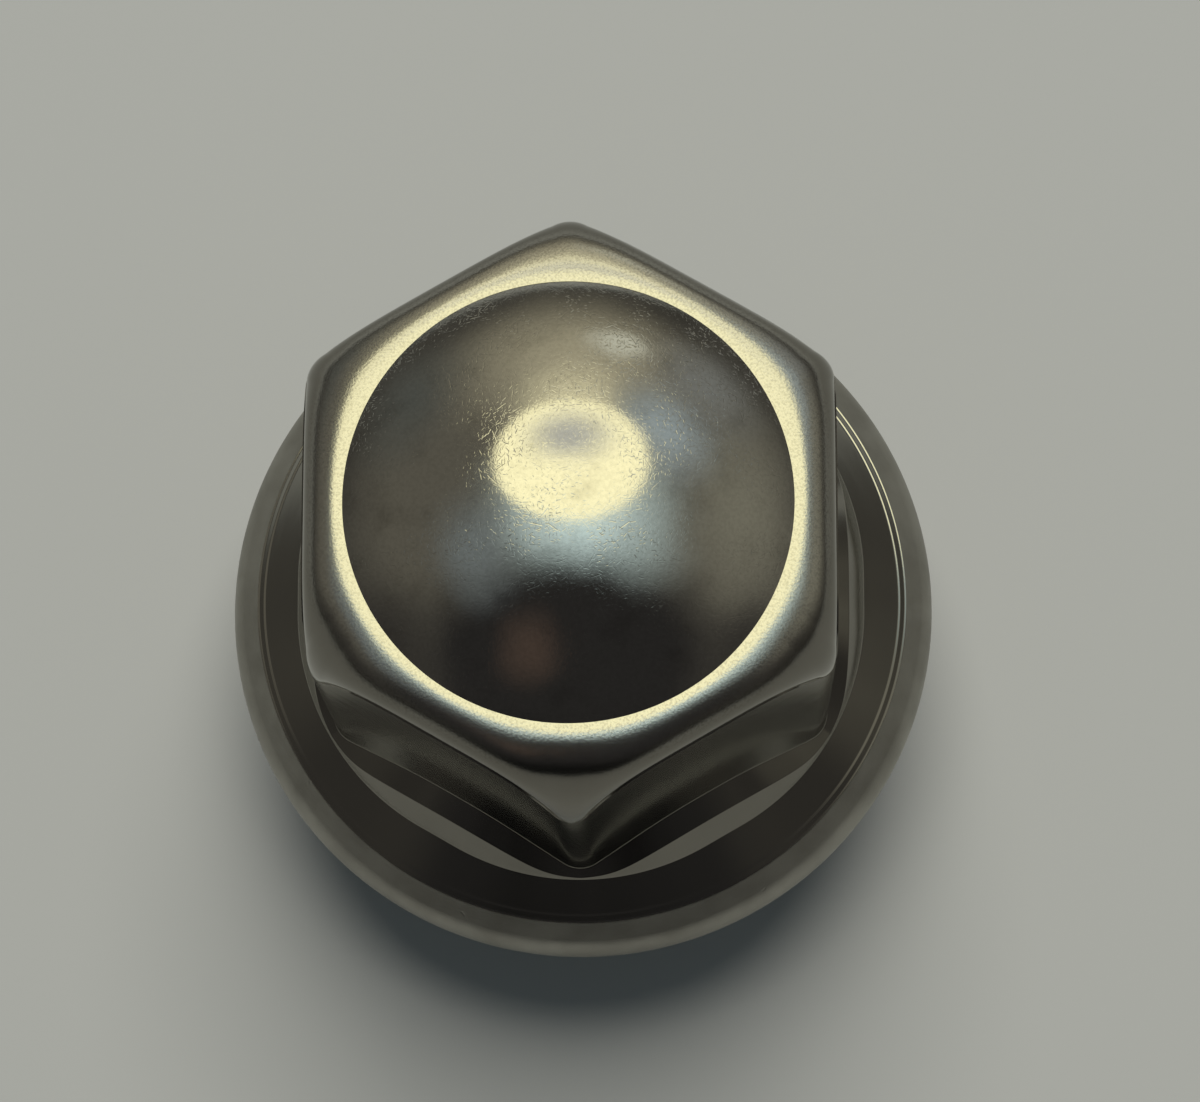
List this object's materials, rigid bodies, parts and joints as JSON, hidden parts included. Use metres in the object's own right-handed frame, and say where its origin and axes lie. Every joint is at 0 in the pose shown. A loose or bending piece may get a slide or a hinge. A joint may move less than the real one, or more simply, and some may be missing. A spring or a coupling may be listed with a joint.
{
  "type": "wheel nut",
  "caption": "Closed wheel nut: a hexagon head with a domed crown and rounded shoulder, a wide flared flange, a taper seat and a blind tapped hole.",
  "frame": {"origin": "centre of the open end, on the nut's axis, where it stands", "axes": "+Z along the thread's axis from the open end to the crown; +X square to a flat of the hexagon; -Y towards a corner of the hexagon"},
  "size_m": [0.0318, 0.0318, 0.0374],
  "materials": {
    "bright_steel": "polished steel, with a satin crown ring and a fine-scratched dome"
  },
  "bodies": {
    "root": {"wheel_nut": "bright_steel"}
  },
  "joints": []
}
